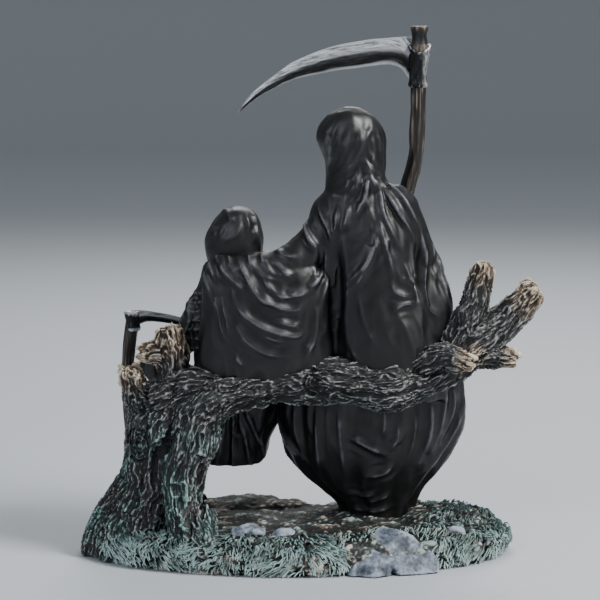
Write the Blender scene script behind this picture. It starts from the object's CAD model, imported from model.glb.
import math
import random

import bmesh
import bpy
import numpy as np
from mathutils import Matrix, Vector, noise


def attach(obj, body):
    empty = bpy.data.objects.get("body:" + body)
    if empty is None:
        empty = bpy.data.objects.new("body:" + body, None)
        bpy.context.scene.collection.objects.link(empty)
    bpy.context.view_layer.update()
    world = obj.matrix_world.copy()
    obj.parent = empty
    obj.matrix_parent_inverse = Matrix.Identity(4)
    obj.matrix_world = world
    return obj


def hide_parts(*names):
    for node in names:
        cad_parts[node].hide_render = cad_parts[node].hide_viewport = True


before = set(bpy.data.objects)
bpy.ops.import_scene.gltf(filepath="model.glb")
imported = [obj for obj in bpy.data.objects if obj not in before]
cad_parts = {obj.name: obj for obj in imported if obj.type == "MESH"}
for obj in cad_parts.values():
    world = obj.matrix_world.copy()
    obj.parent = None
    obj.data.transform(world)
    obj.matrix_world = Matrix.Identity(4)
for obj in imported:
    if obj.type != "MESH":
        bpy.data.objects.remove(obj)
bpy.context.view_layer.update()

# Ground
# The oval foot of the casting: painted resin, poured in one with the tree and the figures. A low dome of soil
# with mounds towards its ends, its rim lost under grass.

MM = 0.001
BASE_LENGTH = 200.0
BASE_DEPTH = 101.0
BASE_OFFSET_X = -7.0
COARSE = 1.0


def into_scene(name, data):
    """A new object for a mesh, a light or a camera."""
    made = bpy.data.objects.new(name, data)
    bpy.context.scene.collection.objects.link(made)
    return made


def pick(*bodies):
    """Select these objects alone, the first one active."""
    bpy.ops.object.select_all(action="DESELECT")
    for body in bodies:
        body.select_set(True)
    bpy.context.view_layer.objects.active = bodies[0]


def skin(name, rings):
    """A closed skin over rings of equal count, with a point in the middle of each end. Millimetres."""
    n = len(rings[0])
    points = [tuple(q * MM for q in p) for ring in rings for p in ring]
    faces = []
    for k in range(len(rings) - 1):
        for i in range(n):
            j = (i + 1) % n
            faces.append((k * n + i, k * n + j, (k + 1) * n + j, (k + 1) * n + i))
    for k, ring in ((0, rings[0]), (len(rings) - 1, rings[-1])):
        points.append(tuple(np.mean(ring, axis=0) * MM))
        for i in range(n):
            faces.append((k * n + i, k * n + (i + 1) % n, len(points) - 1))
    mesh = bpy.data.meshes.new(name)
    mesh.from_pydata(points, [], faces)
    work = bmesh.new()
    work.from_mesh(mesh)
    bmesh.ops.recalc_face_normals(work, faces=work.faces)
    work.to_mesh(mesh)
    work.free()
    return into_scene(name, mesh)


def ball(name, at, size, turn=0.0, detail=4):
    """An egg: its middle, its three half sizes and its turn about the upright axis in degrees."""
    bpy.ops.mesh.primitive_ico_sphere_add(subdivisions=detail, radius=1.0)
    made = bpy.context.object
    made.name = name
    made.data.transform(Matrix.Diagonal((*[q * MM for q in size], 1.0)))
    made.data.transform(Matrix.Rotation(math.radians(turn), 4, "Z"))
    made.data.transform(Matrix.Translation([q * MM for q in at]))
    return made


def settle(body, kind, **values):
    """Put one modifier on the object and apply it."""
    modifier = body.modifiers.new(kind.title(), kind)
    for key, value in values.items():
        setattr(modifier, key, value)
    pick(body)
    bpy.ops.object.modifier_apply(modifier=modifier.name)


def merge(name, pieces):
    """Join shapes into one object."""
    pick(*pieces)
    bpy.ops.object.join()
    pieces[0].name = name
    return pieces[0]


def grow_together(body, grain, rounds):
    """Turn overlapping shapes into one closed skin and soften the joins between them."""
    settle(body, "REMESH", mode="VOXEL", voxel_size=grain * COARSE * MM, adaptivity=0.0)
    if rounds:
        settle(body, "SMOOTH", factor=0.5, iterations=rounds)


def read(body, what):
    """The places ("co") in metres or the normals of the skin's points."""
    values = np.empty(len(body.data.vertices) * 3)
    body.data.vertices.foreach_get(what, values)
    return values.reshape(-1, 3)


def move(body, place):
    """Move the skin's points to new places, in millimetres."""
    body.data.vertices.foreach_set("co", (place * MM).ravel())
    body.data.update()


def stand_flat(body, height):
    """Press whatever hangs below a height, in millimetres, up to it."""
    place = read(body, "co") / MM
    place[:, 2] = np.maximum(place[:, 2], height)
    move(body, place)


def roughen(body, size, height, stretch=(1.0, 1.0, 1.0), seed=0.0, sharp=False):
    """Move the skin in and out by a grain of the given size. Sharp grain has creases between its lumps."""
    place, normal = read(body, "co") / MM, read(body, "normal")
    sample = place / np.array(stretch) / size + seed
    values = np.array([noise.noise(p) for p in sample])
    if sharp:
        values = 2.2 * np.abs(values) - 0.5
    move(body, place + normal * (height * values)[:, None])


def mark(body, name, values):
    """Keep a number or a vector for each point of the skin, for the paint to follow."""
    values = np.asarray(values, np.float32)
    kind, field = ("FLOAT", "value") if values.ndim == 1 else ("FLOAT_VECTOR", "vector")
    layer = body.data.attributes.new(name, kind, "POINT")
    layer.data.foreach_set(field, values.ravel())


def find_crests(body, rounds, reach):
    """Mark how far each point stands proud of the smoothed skin round it: a half is level with it."""
    mesh = body.data
    place, normal = read(body, "co"), read(body, "normal")
    edges = np.empty(len(mesh.edges) * 2, int)
    mesh.edges.foreach_get("vertices", edges)
    a, b = edges.reshape(-1, 2).T
    count = np.bincount(a, minlength=len(place)) + np.bincount(b, minlength=len(place))
    soft = place.copy()
    for _ in range(rounds):
        total = np.empty_like(soft)
        for k in range(3):
            total[:, k] = np.bincount(a, soft[b, k], len(place)) + np.bincount(b, soft[a, k], len(place))
        soft = 0.3 * soft + 0.7 * total / np.maximum(1, count)[:, None]
    proud = np.sum((place - soft) * normal, axis=1) / (reach * MM)
    mark(body, "crest", np.clip(0.5 + 0.5 * proud, 0.0, 1.0))


def linear(code):
    """A colour as seen on a screen, turned into the light it stands for."""
    parts = [int(code[k:k + 2], 16) / 255 for k in (1, 3, 5)]
    return tuple(c / 12.92 if c <= 0.04045 else ((c + 0.055) / 1.055) ** 2.4 for c in parts) + (1.0,)


def add(tree, kind, settings, links, out=0):
    """Add a shader node with its settings, and its inputs as values or as what feeds them. Give one output.

    Colours are written as on a screen, and a ramp's stops as pairs of place and colour.
    """
    made = tree.nodes.new("ShaderNode" + kind)
    for key, value in settings.items():
        if key == "stops":
            made.color_ramp.elements.remove(made.color_ramp.elements[1])
            made.color_ramp.elements[0].position = value[0][0]
            made.color_ramp.elements[0].color = linear(value[0][1])
            for place, colour in value[1:]:
                made.color_ramp.elements.new(place).color = linear(colour)
        else:
            setattr(made, key, value)
    for key, value in links.items():
        if isinstance(value, bpy.types.NodeSocket):
            tree.links.new(value, made.inputs[key])
        else:
            made.inputs[key].default_value = linear(value) if isinstance(value, str) else value
    return made.outputs[out]


def paint(name, roughness, metallic=0.0):
    """A new finish: the material, its node tree and its shader."""
    made = bpy.data.materials.new(name)
    made.use_nodes = True
    shader = made.node_tree.nodes["Principled BSDF"]
    shader.inputs["Roughness"].default_value = roughness
    shader.inputs["Metallic"].default_value = metallic
    return made, made.node_tree, shader


def wear(tree, crest, pattern, gain, shift):
    """How worn the paint is: the crests of the skin, with a pattern added to them."""
    spread = add(tree, "Math", {"operation": "MULTIPLY_ADD"}, {0: pattern, 1: gain, 2: shift})
    return add(tree, "Math", {"operation": "ADD"}, {0: crest, 1: spread})


def feed(shader, links):
    """Lead outputs of nodes into the shader of a finish."""
    for key, output in links.items():
        shader.id_data.links.new(output, shader.inputs[key])


def complete(body, surface, node="reapers_tree_and_base", smooth=60.0):
    """Give the piece its finish, with edges sharper than an angle kept, and the solid that it stands for."""
    body.data.materials.clear()
    body.data.materials.append(surface)
    pick(body)
    bpy.ops.object.shade_smooth_by_angle(angle=math.radians(smooth))
    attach(body, "root")
    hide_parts(node)


AROUND = 180
UNDER_GRASS = 2.0
RIM = [(0.0, 0.965), (4.5, 1.0), (8.5, 0.99), (11.7, 0.93), (14.0, 0.80), (15.1, 0.5), (15.4, 0.08)]
MOUNDS = [((62, 6, 9), (26, 24, 10.5)), ((-30, 30, 10), (34, 15, 9.5)), ((-88, 8, 8), (16, 26, 13)),
          ((30, 24, 8), (40, 22, 8.5)), ((-10, -16, 8), (40, 22, 8.0))]


def lobes(t):
    """The oval's outline is a little uneven."""
    return 1 + 0.018 * math.sin(3 * t + 0.6) + 0.012 * math.sin(7 * t)


rings = []
for z, share in RIM:
    ring = []
    for i in range(AROUND):
        t = 2 * math.pi * i / AROUND
        ring.append((BASE_OFFSET_X + (BASE_LENGTH / 2 * share * lobes(t) - UNDER_GRASS) * math.cos(t),
                     (BASE_DEPTH / 2 * share * lobes(t) - UNDER_GRASS) * math.sin(t), z))
    rings.append(ring)
ground = merge("ground", [skin("ground", rings)] + [ball("mound", at, size) for at, size in MOUNDS])
grow_together(ground, grain=1.05, rounds=3)
roughen(ground, size=9.0, height=2.2, seed=7.0)
roughen(ground, size=2.6, height=0.55, seed=3.0, sharp=True)
stand_flat(ground, 0.0)
find_crests(ground, rounds=9, reach=0.5)

# Soil: near-black matt paint, dry-brushed grey-green on the grit, and buff where bare earth shows.
soil, tree, shader = paint("painted soil", 0.75)
where = add(tree, "TexCoord", {}, {}, "Object")
crest = add(tree, "Attribute", {"attribute_name": "crest"}, {}, "Fac")
grit = add(tree, "TexNoise", {}, {"Vector": where, "Scale": 1 / (1.1 * MM), "Detail": 4.0}, "Fac")
worn = wear(tree, crest, grit, 0.55, -0.275)
damp = add(tree, "ValToRGB",
           {"stops": [(0.35, "#080908"), (0.52, "#1c201e"), (0.72, "#4b5450"), (0.92, "#93a09a")]},
           {"Fac": worn})
bare = add(tree, "TexNoise", {}, {"Vector": where, "Scale": 1 / (16 * MM), "Detail": 3.0}, "Fac")
bare = add(tree, "MapRange", {}, {"Value": bare, "From Min": 0.46, "From Max": 0.60})
back = add(tree, "SeparateXYZ", {}, {"Vector": where}, "Y")
back = add(tree, "MapRange", {}, {"Value": back, "From Min": 0.012, "From Max": 0.03})
paler = add(tree, "Math", {"operation": "MULTIPLY_ADD"}, {0: back, 1: 0.10, 2: worn})
dry = add(tree, "ValToRGB",
          {"stops": [(0.35, "#0b0907"), (0.60, "#231d18"), (0.82, "#6b6054"), (1.0, "#c9c0b1")]},
          {"Fac": paler})
tint = add(tree, "Mix", {"data_type": "RGBA"}, {"Factor": bare, 6: damp, 7: dry}, 2)
bump = add(tree, "Bump", {}, {"Height": grit, "Strength": 0.5, "Distance": 0.4 * MM})
feed(shader, {"Base Color": tint, "Normal": bump})
complete(ground, soil)


# Stones and rocks
# Part of the same casting, painted blue-grey: two broken rocks at the front edge, left bare, and small stones
# in the grass. Each is a lump with flat broken faces and worn edges.

def stone(name, corners):
    """A broken stone: the flat faces that span its corners."""
    mesh = bpy.data.meshes.new(name)
    work = bmesh.new()
    for corner in corners:
        work.verts.new([q * MM for q in corner])
    bmesh.ops.convex_hull(work, input=work.verts)
    bmesh.ops.delete(work, geom=[v for v in work.verts if not v.link_faces], context="VERTS")
    bmesh.ops.recalc_face_normals(work, faces=work.faces)
    work.to_mesh(mesh)
    work.free()
    return into_scene(name, mesh)


def strewn(at, size, seed, count=40):
    """The corners of a pebble: points strewn on an egg."""
    chance = random.Random(seed)
    corners = []
    for _ in range(count):
        v = Vector((chance.gauss(0, 1), chance.gauss(0, 1), chance.gauss(0, 1))).normalized()
        corners.append([at[i] + v[i] * size[i] * chance.uniform(0.86, 1.0) for i in range(3)])
    return corners


ROCKS = [
    [(28, -31, 17.5), (32, -30, 19.5), (38.5, -32, 18.6), (46, -34, 14.6), (54, -37, 8.6), (57.5, -39, 4),
     (57, -42, 0.5), (40, -47, 0.5), (33, -46.5, 6), (26.5, -38, 12), (25, -34, 13), (25, -38, 0.5),
     (28, -25, 9), (45, -25, 7), (57, -33, 4), (40, -24, 0.5), (57, -35, 0.5)],
    [(13.5, -42, 0.5), (14.5, -41.5, 5), (19.5, -40.5, 9.8), (27, -41, 11.6), (33, -43, 9.4),
     (36, -46.5, 3.5),
     (36, -47.5, 0.5), (28, -50.4, 0.5), (17, -48.4, 0.5), (19, -47.2, 6), (28.5, -48.8, 5.6), (27, -36, 4),
     (18, -36, 2)]]
PEBBLES = [((-29, -26, 14.8), (9.0, 6.0, 5.0)), ((-13, -27, 14.2), (6.8, 5.0, 4.0)),
           ((66, -18, 13.0), (5.0, 4.2, 3.2)), ((-66, 34, 12.0), (9, 7, 5)), ((12, 42, 10.0), (8, 5, 4.5)),
           ((72, 20, 15), (6, 5, 4))]
stones = merge("stones", [stone("rock", corners) for corners in ROCKS]
               + [stone("pebble", strewn(at, size, 11 + k)) for k, (at, size) in enumerate(PEBBLES)])
grow_together(stones, grain=0.6, rounds=7)
roughen(stones, size=6.0, height=0.8, seed=2.0)
roughen(stones, size=1.6, height=0.26, seed=5.0)
stand_flat(stones, 0.3)
find_crests(stones, rounds=20, reach=0.5)

# Stone paint: slate blue-grey, paler on worn edges, dark in the hollows and flecked with lighter grey.
slate, tree, shader = paint("painted stone", 0.6)
where = add(tree, "TexCoord", {}, {}, "Object")
crest = add(tree, "Attribute", {"attribute_name": "crest"}, {}, "Fac")
cloud = add(tree, "TexNoise", {}, {"Vector": where, "Scale": 1 / (5 * MM), "Detail": 6.0}, "Fac")
worn = wear(tree, crest, cloud, 1.1, -0.55)
tint = add(tree, "ValToRGB",
           {"stops": [(0.15, "#1d2126"), (0.42, "#49515b"), (0.62, "#6c7681"), (0.9, "#9ca5b0")]},
           {"Fac": worn})
speck = add(tree, "TexNoise", {}, {"Vector": where, "Scale": 1 / (0.8 * MM), "Detail": 3.0}, "Fac")
light = add(tree, "MapRange", {}, {"Value": speck, "From Min": 0.62, "From Max": 0.74, "To Max": 0.6})
tint = add(tree, "Mix", {"data_type": "RGBA"}, {"Factor": light, 6: tint, 7: "#98a1ab"}, 2)
deep = add(tree, "MapRange", {}, {"Value": speck, "From Min": 0.40, "From Max": 0.32})
tint = add(tree, "Mix", {"data_type": "RGBA"}, {"Factor": deep, 6: tint, 7: "#2b3138"}, 2)
feed(shader, {"Base Color": tint})
complete(stones, slate)


# Tree
# Trunk, two broken stubs, the branch that is the seat, its forked end and the roots. Cast with the ground;
# the bark is deep wavy ridges along each limb, and the broken ends are bare wood.

SEAT = 86.0


def smooth_rows(rows, steps):
    """Rows of numbers with a smooth curve through them, a number of steps to each gap."""
    p = np.array(rows, float)
    p = np.vstack([2 * p[0] - p[1], p, 2 * p[-1] - p[-2]])
    out = []
    for i in range(1, len(p) - 2):
        a, b, c, d = p[i - 1:i + 3]
        for t in np.arange(steps) / steps:
            out.append(0.5 * (2 * b + (c - a) * t + (2 * a - 5 * b + 4 * c - d) * t * t
                              + (3 * b - a - 3 * c + d) * t ** 3))
    out.append(p[-2])
    return np.array(out)


def snapped_end(ring, way, radius, seed):
    """The end of a snapped limb: a blunt dome of ragged wood that stands in uneven lumps."""
    middle = ring.mean(axis=0)
    rings = []
    for inward, reach, jag in ((0.99, 0.10, 0.30), (0.88, 0.34, 0.55), (0.64, 0.46, 0.75), (0.32, 0.40, 0.6)):
        moved = []
        for i in range(len(ring)):
            t = 2 * math.pi * i / len(ring)
            x, y = math.cos(t), math.sin(t)
            height = reach + jag * 1.7 * abs(noise.noise((2.4 * x * inward + seed, 2.4 * y * inward, 1.3)))
            moved.append(middle + (ring[i] - middle) * inward + way * radius * height)
        rings.append(np.array(moved))
    return rings


def tube(name, rows, around=24, steps=5, relief=None, rounded=False, snapped=None):
    """A limb along a curve. A row is x, y, z and the radius, or the half width and the half height."""
    table = smooth_rows(rows, steps)
    path = table[:, :3]
    along = np.gradient(path, axis=0)
    run = np.concatenate([[0.0], np.cumsum(np.linalg.norm(np.diff(path, axis=0), axis=1))])
    steep = abs(along[0][2]) >= 0.8 * np.linalg.norm(along[0])
    side = np.cross(along[0], (0, 1, 0) if steep else (0.3, 0.2, 1.0))
    rings = []
    for k, point in enumerate(path):
        way = along[k] / np.linalg.norm(along[k])
        side = side - way * np.dot(side, way)
        side = side / np.linalg.norm(side)
        up = np.cross(side, way)
        a, b = table[k, 3], table[k, -1]
        ring = []
        for i in range(around):
            t = 2 * math.pi * i / around
            out = relief(t, run[k]) if relief else 0.0
            ring.append(point + side * (a + out) * math.cos(t) + up * (b + out) * math.sin(t))
        rings.append(np.array(ring))
    if snapped is not None:
        rings += snapped_end(rings[-1], along[-1] / np.linalg.norm(along[-1]), table[-1, 3], snapped)
    if rounded:
        for end, way in ((0, -along[0]), (-1, along[-1])):
            ring = rings[end]
            middle = ring.mean(axis=0)
            reach = table[end, -1] * way / np.linalg.norm(way)
            for slope in (25.0, 50.0, 72.0):
                a = math.radians(slope)
                cap = middle + (ring - middle) * math.cos(a) + reach * math.sin(a)
                rings = [cap] + rings if end == 0 else rings + [cap]
    return skin(name, rings)


def lumps(ridges, depth, seed):
    """Broad uneven swellings along a limb."""
    def height(angle, along):
        turn = angle + 0.010 * along + 0.25 * math.sin(along / 11.0 + seed)
        spread = ridges / 4.5
        swell = noise.noise((math.cos(turn) * spread, math.sin(turn) * spread, along / 24.0 + 3.1 * seed))
        return depth * (2.6 * abs(swell) - 0.7)
    return height


# In the tree's tables s is the height of the seat.
s = SEAT
LIMBS = [
    ([(-82, 0, -3, 26), (-77, -1, 14, 22), (-72, -2, 32, 17.5), (-69, -3, s - 28, 16.5),
      (-64.5, -4, s - 18, 14.5), (-64, -5, s - 9, 9.4), (-64, -5, s - 1, 7.6), (-64.2, -5, s + 7, 7.6),
      (-65.3, -5, s + 14.5, 7.2)], 9),
    ([(-63, -5, s + 5, 7), (-69.5, -5, s + 8.5, 6.2), (-75.5, -5, s + 8.5, 4.9)], 6),
    ([(-70, -3, s - 38, 14), (-75.5, -4, s - 22, 9.8), (-80.5, -4.5, s - 10, 7.0),
      (-83, -5, s - 2.5, 5.2)], 7),
    ([(-20, -12, s - 6, 8.0), (-36, -12.5, s - 8.5, 9.4), (-49, -13, s - 16, 11.5), (-56, -15, s - 33, 11.4),
      (-59, -19, s - 54, 9), (-57, -26, 16, 7.6), (-49, -33, 5, 6.4), (-43, -37, 1, 5)], 7),
    ([(-52, -22, 22, 8), (-48, -34, 13, 6), (-46, -45, 7, 4.6)], 6),
    ([(-80, -2, 26, 15), (-92, -5, 15, 10.5), (-100, -7, 6, 7.0), (-101, -8, -3, 4.5)], 6),
    ([(-66, 2, 30, 13), (-62, 14, 16, 10), (-56, 26, 8, 7)], 6),
    ([(-68, -5, s - 16, 13), (-56, -8, s - 9, 11), (-40, -11, s - 7.5, 8.8), (-22, -12, s - 6, 8.2),
      (-6, -12, s - 4, 9.2), (6, -12, s - 3.6, 10.5), (20, -12, s - 4.6, 10.4), (34, -12, s - 6, 12.2),
      (46, -10, s - 3.5, 9.8), (60, -8, s + 2, 9.6), (72, -6, s + 11, 10), (85, -5, s + 20, 8.6),
      (93, -4, s + 28, 7.8), (99.5, -4, s + 34.5, 6.8)], 8),
    ([(66, -7, s + 6, 9), (71, -6, s + 22, 7.4), (75.5, -5.5, s + 36, 6.0), (78.5, -5, s + 46.5, 5.0)], 6),
    ([(68, -7, s + 10, 8), (80, -7, s + 8, 6), (91, -7, s + 6, 3.9)], 6),
    ([(50, -11, s + 4, 8), (58, -16.5, s + 8, 6.2), (65, -19.5, s + 7.4, 5.2),
      (69.5, -20.5, s + 6.6, 4.2)], 6)]
TIPS = [((-65.5, -5, s + 18), 14), ((-78, -5, s + 9), 11), ((-84, -5, s), 10), ((103, -4, s + 38), 15),
        ((79.5, -5, s + 50), 12), ((95, -7, s + 6), 9), ((73, -21, s + 6.5), 9)]
SNAPPED = (0, 1, 2, 7, 8, 9, 10)
limbs = []
for k, (rows, ridges) in enumerate(LIMBS):
    limbs.append(tube("limb", rows, 96, 12, lumps(ridges, 1.1, 0.9 * k + 0.4),
                      snapped=1.3 * k if k in SNAPPED else None))
trunk = merge("tree", limbs)
grow_together(trunk, grain=0.6, rounds=1)


def along_limbs(place, limbs):
    """For each point, its place round and along the limb that it lies on, in millimetres."""
    nearest = np.full(len(place), 1e9)
    found = np.zeros((len(place), 3))
    for k, (rows, _) in enumerate(limbs):
        table = smooth_rows(rows, 6)
        path, radius = table[:, :3], table[:, 3]
        way = np.gradient(path, axis=0)
        way /= np.linalg.norm(way, axis=1)[:, None]
        run = np.concatenate([[0.0], np.cumsum(np.linalg.norm(np.diff(path, axis=0), axis=1))])
        side = np.cross(way, (0.0, 1.0, 0.1))
        side /= np.linalg.norm(side, axis=1)[:, None]
        up = np.cross(side, way)
        gap = np.full(len(place), 1e9)
        spot = np.zeros(len(place), int)
        for j in range(len(path)):
            reach = np.linalg.norm(place - path[j], axis=1) - radius[j]
            closer = reach < gap
            gap[closer] = reach[closer]
            spot[closer] = j
        off = place - path[spot]
        x, y = np.sum(off * side[spot], axis=1), np.sum(off * up[spot], axis=1)
        girth = radius[spot] / np.maximum(1e-6, np.hypot(x, y))
        down = run[spot] + np.sum(off * way[spot], axis=1) + 37.0 * k
        here = np.stack([x * girth, y * girth, down], axis=1)
        better = gap < nearest
        nearest[better] = gap[better]
        found[better] = here[better]
    return found


def bark(body, limbs, depth):
    """Wavy ridges that run along the limbs: broad swellings, sharp ridges and finer ones between them."""
    place, normal = read(body, "co") / MM, read(body, "normal")
    spot = along_limbs(place, limbs)
    height = np.empty(len(place))
    # Without a seed the vectors of noise differ from run to run.
    noise.seed_set(7)
    for k, (x, y, z) in enumerate(spot):
        bend = noise.noise_vector((x / 6.0, y / 6.0, z / 9.0))
        x, y, z = x + 3.2 * bend[0], y + 3.2 * bend[1], z + 3.0 * bend[2]
        swell = noise.noise((x / 6.0, y / 6.0, z / 14.0))
        ridge = 1 - min(1.0, abs(noise.noise((x / 2.5, y / 2.5, z / 12.0))) / 0.34)
        finer = 1 - min(1.0, abs(noise.noise((x / 1.4 + 9.0, y / 1.4, z / 6.5))) / 0.34)
        height[k] = depth * (1.1 * swell + 1.15 * ridge ** 1.4 + 0.5 * finer - 0.75)
    move(body, place + normal * height[:, None])
    mark(body, "limb", spot / (1.0, 1.0, 7.0))


def carve(body, strokes):
    """Raise folds and sink grooves. A stroke is the side it is seen from, points, width and height.

    A fold rises gently on its upper side to a crisp edge and falls steeply below it. A groove is even.
    """
    sides = {"back": ((0, -1, 0), (0, 2)), "front": ((0, 1, 0), (0, 2)), "left": ((-1, 0, 0), (1, 2)),
             "right": ((1, 0, 0), (1, 2)), "top": ((0, 0, 1), (0, 1))}
    place, normal = read(body, "co") / MM, read(body, "normal")
    shift = np.zeros(len(place))
    for side, points, width, height in strokes:
        facing, (u, v) = sides[side]
        look = np.clip((normal @ np.array(facing, float)) / 0.45, 0.0, 1.0)
        line = smooth_rows(points, 6)
        flat = place[:, (u, v)]
        near = np.flatnonzero((look > 0) & np.all(flat > line.min(axis=0) - 3 * width, axis=1)
                              & np.all(flat < line.max(axis=0) + 3 * width, axis=1))
        spot = flat[near]
        best = np.full(len(near), 1e9)
        share = np.zeros(len(near))
        above = np.zeros(len(near), bool)
        for k in range(len(line) - 1):
            a, b = line[k], line[k + 1]
            t = np.clip(((spot - a) @ (b - a)) / max(1e-9, (b - a) @ (b - a)), 0.0, 1.0)
            away = spot - a - np.outer(t, b - a)
            gap = np.linalg.norm(away, axis=1)
            closer = gap < best
            best[closer] = gap[closer]
            share[closer] = ((k + t) / (len(line) - 1))[closer]
            above[closer] = (away @ np.array((0.35, 1.0)) > 0)[closer]
        if height > 0:
            u = best / (width * np.where(above, 1.5, 0.7))
            crest = np.exp(-1.3 * (np.sqrt(u * u + 0.03) - 0.173)) - 0.32 * np.exp(-(u / 2.2) ** 2)
        else:
            crest = np.exp(-(best / width) ** 2)
        taper = np.clip(np.minimum(share, 1 - share) / 0.3, 0.05, 1.0)
        shift[near] += height * crest * taper * look[near]
    move(body, place + normal * shift[:, None])


clefts = [("back", [(-54, s - 18), (-62, s - 25), (-68, s - 34), (-72, s - 44), (-70, s - 66)], 2.4, -3.2),
          ("back", [(-80, s - 4), (-76, s - 24), (-78, s - 50), (-84, s - 66)], 1.8, -1.8),
          ("back", [(-62, s + 14), (-62, s - 2), (-66, s - 18)], 1.6, -1.6),
          ("back", [(-50, s - 34), (-51, s - 52), (-48, s - 68)], 1.6, -1.6)]
carve(trunk, clefts)
bark(trunk, LIMBS, 1.0)
whorls = []
for x, z, wide, tall in ((3.5, s - 3.0, 5.6, 4.6), (-79.0, s - 33.0, 4.6, 5.6)):
    for turn in (0.3, 0.62, 0.95, 1.3):
        ring = [(x + wide * turn * math.cos(a), z + tall * turn * math.sin(a))
                for a in np.linspace(0.3, 6.3, 12)]
        whorls.append(("back", ring, 0.7, -1.5))
carve(trunk, whorls)
stand_flat(trunk, 0.4)
find_crests(trunk, rounds=7, reach=0.52)
RUBBED = [((37, -21, s - 7), 13), ((3, -21, s - 2), 10), ((-52, -25, s - 26), 12), ((-54, -28, 34), 13),
          ((-46, -36, 9), 12), ((84, -10, s + 20), 16)]
for name, spots, start, slope in (("broken", TIPS, 1.5, 1.25), ("rubbed", RUBBED, 1.3, 1.3)):
    place = read(trunk, "co") / MM
    shown = np.zeros(len(place))
    for at, reach in spots:
        gap = np.linalg.norm(place - np.array(at), axis=1)
        shown = np.maximum(shown, np.clip(start - slope * gap / reach, 0, 1))
    mark(trunk, name, shown)

# Bark paint: black-brown, dry-brushed grey along the thin ridges and more where it is rubbed, verdigris low
# down, and the broken ends bare wood, cream on the ridges and brown between them.
barked, tree, shader = paint("painted bark", 0.6)
where = add(tree, "TexCoord", {}, {}, "Object")
crest = add(tree, "Attribute", {"attribute_name": "crest"}, {}, "Fac")
limb = add(tree, "Attribute", {"attribute_name": "limb"}, {}, "Vector")
fibre = add(tree, "TexNoise", {}, {"Vector": limb, "Scale": 0.75, "Detail": 3.0, "Distortion": 0.35},
            "Fac")
fibre = add(tree, "Math", {"operation": "SUBTRACT"}, {0: fibre, 1: 0.5})
fibre = add(tree, "Math", {"operation": "ABSOLUTE"}, {0: fibre})
line = add(tree, "MapRange", {}, {"Value": fibre, "From Min": 0.0, "From Max": 0.10, "To Min": 1.0,
                                  "To Max": 0.0})
worn = wear(tree, crest, line, 0.42, -0.20)
rubbed = add(tree, "Attribute", {"attribute_name": "rubbed"}, {}, "Fac")
worn = add(tree, "Math", {"operation": "MULTIPLY_ADD"}, {0: rubbed, 1: 0.13, 2: worn})
dark = add(tree, "ValToRGB",
           {"stops": [(0.30, "#050404"), (0.52, "#171514"), (0.72, "#434140"), (0.97, "#8b8d8b")]},
           {"Fac": worn})
green = add(tree, "ValToRGB",
            {"stops": [(0.30, "#050808"), (0.50, "#172725"), (0.70, "#446560"), (0.95, "#93b4ac")]},
            {"Fac": worn})
height = add(tree, "SeparateXYZ", {}, {"Vector": where}, "Z")
low = add(tree, "MapRange", {}, {"Value": height, "From Min": 0.085, "From Max": 0.02})
patch = add(tree, "TexNoise", {}, {"Vector": where, "Scale": 1 / (14 * MM), "Detail": 4.0}, "Fac")
patch = add(tree, "MapRange", {}, {"Value": patch, "From Min": 0.42, "From Max": 0.60})
moss = add(tree, "Math", {"operation": "MULTIPLY"}, {0: low, 1: patch})
tint = add(tree, "Mix", {"data_type": "RGBA"}, {"Factor": moss, 6: dark, 7: green}, 2)
wood = add(tree, "ValToRGB",
           {"stops": [(0.28, "#1c130e"), (0.48, "#5b4838"), (0.68, "#a08b72"), (0.92, "#d6c9b0")]},
           {"Fac": worn})
broken = add(tree, "Attribute", {"attribute_name": "broken"}, {}, "Fac")
tint = add(tree, "Mix", {"data_type": "RGBA"}, {"Factor": broken, 6: tint, 7: wood}, 2)
bump = add(tree, "Bump", {}, {"Height": line, "Strength": 0.7, "Distance": 0.35 * MM})
feed(shader, {"Base Color": tint, "Normal": bump})


def divide(body, at, way, names):
    """Cut a shape in two at a plane. Both halves are closed there and keep their paint."""
    other = into_scene(names[1], body.data.copy())
    for piece, name, keep_inner in ((body, names[0], True), (other, names[1], False)):
        piece.name = name
        pick(piece)
        bpy.ops.object.mode_set(mode="EDIT")
        bpy.ops.mesh.select_all(action="SELECT")
        bpy.ops.mesh.bisect(plane_co=[q * MM for q in at], plane_no=way, use_fill=True,
                            clear_outer=keep_inner, clear_inner=not keep_inner)
        bpy.ops.object.mode_set(mode="OBJECT")
    return body, other


for piece in divide(trunk, (-53.0, 0, 0), (1, 0, 0), ("trunk", "branch")):
    complete(piece, barked)


# Adult's robe and hood
# The seated reaper's robe with its wide sleeves and its peaked hood, of the same casting, painted satin
# black. The left sleeve hangs across the child's back. Folds fall from the hood, sag under the arm and run
# down to the hem.

ADULT_AT = (24.0, 0.0, SEAT)
CHILD_AT = (-37.0, 0.0, SEAT)


def placed(rows, at):
    """Rows drawn about a figure's seat, moved to it."""
    return [tuple(at[i] + row[i] for i in range(3)) + tuple(row[3:]) for row in rows]


def wave(angle, count, seed):
    """An uneven wave round a section, between minus one and one."""
    return 0.65 * math.sin(count * angle + seed) + 0.35 * math.sin((count * 2 - 1) * angle + 2.3 * seed)


def stack(name, rows, pleats=0, relief=0.0, seed=1.0, around=72, steps=6):
    """Level sections piled up. A row is the middle x, y, z, the half width and the half depth."""
    table = smooth_rows(rows, steps)
    rings = []
    for k, (x, y, z, a, b) in enumerate(table):
        share = k / (len(table) - 1)
        ring = []
        for i in range(around):
            t = 2 * math.pi * i / around
            out = relief * wave(t + 0.25 * share, pleats, seed) if pleats else 0.0
            ring.append((x + (a + out) * math.cos(t), y + (b + out) * math.sin(t), z))
        rings.append(ring)
    return skin(name, rings)


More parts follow.
